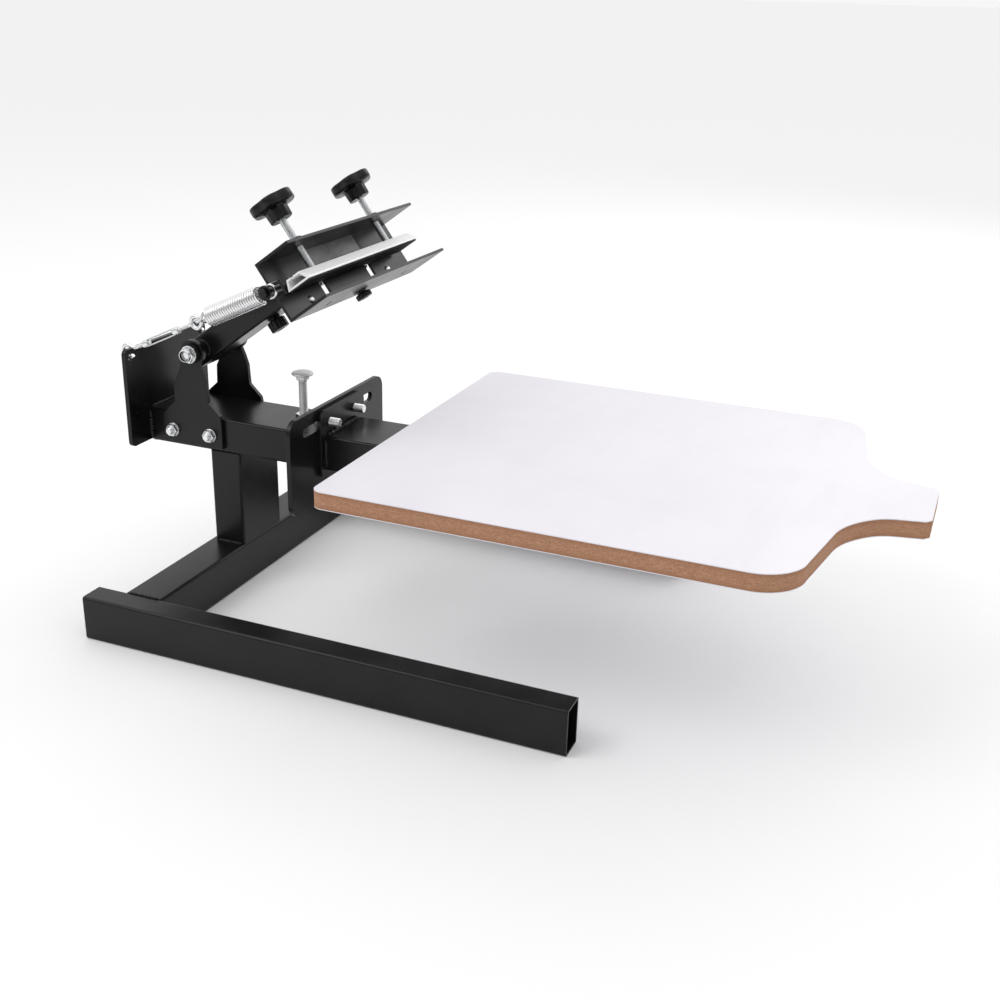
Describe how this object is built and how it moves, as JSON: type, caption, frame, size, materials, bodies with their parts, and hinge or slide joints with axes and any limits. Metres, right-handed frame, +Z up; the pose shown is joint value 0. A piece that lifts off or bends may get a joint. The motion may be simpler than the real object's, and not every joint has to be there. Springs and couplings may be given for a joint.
{
  "type": "screen printing press",
  "caption": "Tabletop screen printing press with a welded H-shaped stand, a flat nosed pallet, and a spring-lifted head whose clamp holds a screen frame.",
  "frame": {"origin": "on the floor, under the centre of the stand's post", "axes": "+X from the hinge towards the pallet's nose, +Y to the left seen from behind the hinge, +Z up; the feet stand on z = 0"},
  "size_m": [0.8819, 0.46, 0.4759],
  "materials": {
    "black_powder_coat": "satin black powder coat over welded mild steel",
    "zinc_plated_steel": "bright zinc plate",
    "bright_spring_wire": "bright drawn wire, nickel plated",
    "plain_aluminium": "plain extruded",
    "rolled_steel": "bare rolled steel strip",
    "black_knob_plastic": "moulded, fine grain",
    "black_rubber": "matt sheet",
    "white_nylon": "turned nylon",
    "black_nylon": "moulded nylon",
    "pale_laminate": "smooth pressure laminate with a faint lilac cast",
    "fibreboard": "sawn and sanded fibreboard edge"
  },
  "bodies": {
    "stand": {"right_foot": "black_powder_coat", "left_foot": "black_powder_coat", "crossmember": "black_powder_coat", "post": "black_powder_coat", "beam": "black_powder_coat", "spring_plate": "black_powder_coat", "right_hinge_plate": "black_powder_coat", "left_hinge_plate": "black_powder_coat", "hinge_plate_bolts": "zinc_plated_steel", "hinge_plate_nuts": "zinc_plated_steel", "pivot_bolt": "zinc_plated_steel", "pivot_spacers": "black_nylon", "pivot_nut": "zinc_plated_steel", "mount_plate": "black_powder_coat", "stop_nut": "zinc_plated_steel"},
    "pallet_carrier": {"pallet_bracket": "black_powder_coat", "pallet_arm": "black_powder_coat", "pallet_bolts": "zinc_plated_steel", "pallet_washers": "zinc_plated_steel", "pallet_underside": "pale_laminate", "pallet_board": "fibreboard", "pallet_face": "pale_laminate", "pallet_screws": "zinc_plated_steel"},
    "stop_shaft": {"stop_screw": "zinc_plated_steel"},
    "stop_cap": {"stop_head": "zinc_plated_steel"},
    "arm": {"arm_tube": "black_powder_coat", "pivot_tube": "black_powder_coat", "pivot_bushings": "white_nylon", "spring_posts": "black_powder_coat", "spring_post_nuts": "black_powder_coat", "lock_boss": "black_powder_coat"},
    "reach_lock": {"reach_lock_stud": "zinc_plated_steel"},
    "reach_lock_grip": {"reach_lock_knob": "black_knob_plastic"},
    "clamp": {"reach_stem": "black_powder_coat", "clamp_channel": "black_powder_coat", "clamp_backing_plate": "rolled_steel", "web_screws": "zinc_plated_steel", "flange_nuts": "black_powder_coat"},
    "jaw": {"jaw_bar": "plain_aluminium", "jaw_pad": "black_rubber", "jaw_studs": "zinc_plated_steel", "stud_clips": "zinc_plated_steel", "jaw_guides": "zinc_plated_steel"},
    "right_jaw_grip": {"right_jaw_knob": "black_knob_plastic"},
    "left_jaw_grip": {"left_jaw_knob": "black_knob_plastic"},
    "floor_screw": {"floor_stud": "zinc_plated_steel"},
    "floor_screw_grip": {"floor_knob": "black_knob_plastic"},
    "right_link": {"right_plate_hook": "zinc_plated_steel", "right_spring_eye": "zinc_plated_steel", "right_spring": "bright_spring_wire"},
    "right_link_body": {"right_turnbuckle": "zinc_plated_steel"},
    "right_coil_end": {"right_spring_cap": "bright_spring_wire"},
    "right_front_hook": {"right_spring_hook": "bright_spring_wire"},
    "left_link": {"left_plate_hook": "zinc_plated_steel", "left_spring_eye": "zinc_plated_steel", "left_spring": "bright_spring_wire"},
    "left_link_body": {"left_turnbuckle": "zinc_plated_steel"},
    "left_coil_end": {"left_spring_cap": "bright_spring_wire"},
    "left_front_hook": {"left_spring_hook": "bright_spring_wire"}
  },
  "joints": [
    {"name": "head_lift", "type": "hinge", "parent": "stand", "child": "arm", "pos_m": [-0.033, 0, 0.2762], "axis": [0, 1, 0], "range_deg": [0, 36.3]},
    {"name": "pallet_shift", "type": "slide", "parent": "stand", "child": "pallet_carrier", "axis": [0, 1, 0], "range_m": [-0.045, 0.045]},
    {"name": "stop_height", "type": "slide", "parent": "stand", "child": "stop_shaft", "axis": [0, 0, 1], "range_m": [-0.01, 0]},
    {"name": "stop_turn", "type": "hinge", "parent": "stop_shaft", "child": "stop_cap", "pos_m": [0.082, 0, 0.25], "axis": [0, 0, 1], "range_deg": [-2400, 0]},
    {"name": "reach", "type": "slide", "parent": "arm", "child": "clamp", "axis": [0.8059, 0, 0.592], "range_m": [-0.015, 0.015]},
    {"name": "reach_lock_travel", "type": "slide", "parent": "arm", "child": "reach_lock", "axis": [0.592, 0, -0.8059], "range_m": [0, 0.0025]},
    {"name": "reach_lock_turn", "type": "hinge", "parent": "reach_lock", "child": "reach_lock_grip", "pos_m": [0.05264, 0, 0.30995], "axis": [0.592, 0, -0.8059], "range_deg": [0, 720]},
    {"name": "jaw_close", "type": "slide", "parent": "clamp", "child": "jaw", "axis": [0.592, 0, -0.8059], "range_m": [-0.003, 0.015]},
    {"name": "right_jaw_knob_turn", "type": "hinge", "parent": "jaw", "child": "right_jaw_grip", "pos_m": [0.10933, -0.082, 0.44899], "axis": [0.592, 0, -0.8059], "range_deg": [-864, 4320]},
    {"name": "left_jaw_knob_turn", "type": "hinge", "parent": "jaw", "child": "left_jaw_grip", "pos_m": [0.10933, 0.082, 0.44899], "axis": [0.592, 0, -0.8059], "range_deg": [-864, 4320]},
    {"name": "floor_screw_travel", "type": "slide", "parent": "clamp", "child": "floor_screw", "axis": [0.592, 0, -0.8059], "range_m": [0, 0.0045]},
    {"name": "floor_screw_turn", "type": "hinge", "parent": "floor_screw", "child": "floor_screw_grip", "pos_m": [0.1602, 0, 0.35608], "axis": [0.592, 0, -0.8059], "range_deg": [0, 1620]},
    {"name": "right_link_swing", "type": "hinge", "parent": "stand", "child": "right_link", "pos_m": [-0.102, -0.067, 0.2755], "axis": [0, 1, 0], "range_deg": [0, 24.96]},
    {"name": "right_turnbuckle_turn", "type": "hinge", "parent": "right_link", "child": "right_link_body", "pos_m": [-0.05673, -0.067, 0.29673], "axis": [0.9053, 0, 0.4247], "range_deg": [-180, 180]},
    {"name": "right_spring_stretch", "type": "slide", "parent": "right_link", "child": "right_coil_end", "axis": [0.9053, 0, 0.4247], "range_m": [0, 0.00905], "deforming": ["right_spring"]},
    {"name": "right_front_hook_turn", "type": "hinge", "parent": "arm", "child": "right_front_hook", "pos_m": [0.08628, -0.067, 0.36382], "axis": [0, 1, 0], "range_deg": [-11.36, 0]},
    {"name": "left_link_swing", "type": "hinge", "parent": "stand", "child": "left_link", "pos_m": [-0.102, 0.067, 0.2755], "axis": [0, 1, 0], "range_deg": [0, 24.96]},
    {"name": "left_turnbuckle_turn", "type": "hinge", "parent": "left_link", "child": "left_link_body", "pos_m": [-0.05673, 0.067, 0.29673], "axis": [0.9053, 0, 0.4247], "range_deg": [-180, 180]},
    {"name": "left_spring_stretch", "type": "slide", "parent": "left_link", "child": "left_coil_end", "axis": [0.9053, 0, 0.4247], "range_m": [0, 0.00905], "deforming": ["left_spring"]},
    {"name": "left_front_hook_turn", "type": "hinge", "parent": "arm", "child": "left_front_hook", "pos_m": [0.08628, 0.067, 0.36382], "axis": [0, 1, 0], "range_deg": [-11.36, 0]}
  ],
  "couplings": [
    {"joint": "stop_turn", "follows": "stop_height", "rad_per_m": 4188.8},
    {"joint": "reach_lock_turn", "follows": "reach_lock_travel", "rad_per_m": 5026.5},
    {"joint": "right_jaw_knob_turn", "follows": "jaw_close", "rad_per_m": 5026.5},
    {"joint": "left_jaw_knob_turn", "follows": "jaw_close", "rad_per_m": 5026.5},
    {"joint": "floor_screw_turn", "follows": "floor_screw_travel", "rad_per_m": 6283.2},
    {"joint": "right_link_swing", "follows": "head_lift", "ratio": 0.68721},
    {"joint": "right_spring_stretch", "follows": "head_lift", "m_per_rad": 0.014267},
    {"joint": "right_front_hook_turn", "follows": "head_lift", "ratio": -0.31279},
    {"joint": "left_link_swing", "follows": "head_lift", "ratio": 0.68721},
    {"joint": "left_spring_stretch", "follows": "head_lift", "m_per_rad": 0.014267},
    {"joint": "left_front_hook_turn", "follows": "head_lift", "ratio": -0.31279}
  ]
}
